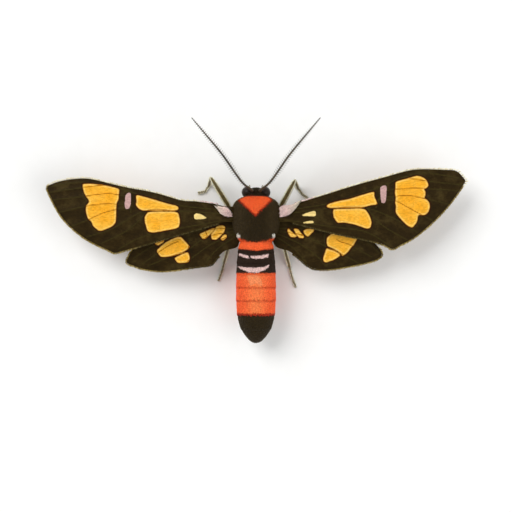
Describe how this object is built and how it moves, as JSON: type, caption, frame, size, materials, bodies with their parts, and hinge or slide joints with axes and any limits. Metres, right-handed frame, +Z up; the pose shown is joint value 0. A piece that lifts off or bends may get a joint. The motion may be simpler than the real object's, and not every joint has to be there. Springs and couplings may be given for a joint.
{
  "type": "spotted clearwing moth",
  "caption": "Life-size standing moth with spread dark wings, amber window spots, a red shield on the shoulders and an orange-banded abdomen.",
  "frame": {"origin": "on the floor, under the middle of the box round the whole moth", "axes": "+Z up from the floor, -Y the way the head points, +X towards the moth's left wings"},
  "size_m": [0.048, 0.0257, 0.008],
  "materials": {
    "dark_scales": "matte olive-brown scales and hair",
    "red_scales": "matte vermilion hair",
    "orange_scales": "satin orange-red scales",
    "pink_scales": "matte pale pink scales",
    "wing_scales": "dry brown-black scales with amber windows",
    "leg_cuticle": "horny olive-brown cuticle with fine scales",
    "eye": "glossy near-black compound eye"
  },
  "bodies": {
    "root": {"thorax": "dark_scales", "collar": "red_scales", "abdomen_base": "dark_scales", "abdomen_middle": "orange_scales", "abdomen_tip": "dark_scales", "head": "dark_scales", "eye_left": "eye", "eye_right": "eye", "antenna_left": "dark_scales", "antenna_right": "dark_scales", "palp_left": "dark_scales", "palp_right": "dark_scales", "proboscis": "leg_cuticle", "tegula_left": "pink_scales", "tegula_right": "pink_scales", "forewing_left": "wing_scales", "forewing_right": "wing_scales", "hindwing_left": "wing_scales", "hindwing_right": "wing_scales", "leg_front_left": "leg_cuticle", "leg_front_right": "leg_cuticle", "leg_middle_left": "leg_cuticle", "leg_middle_right": "leg_cuticle", "leg_hind_left": "leg_cuticle", "leg_hind_right": "leg_cuticle"}
  },
  "joints": []
}
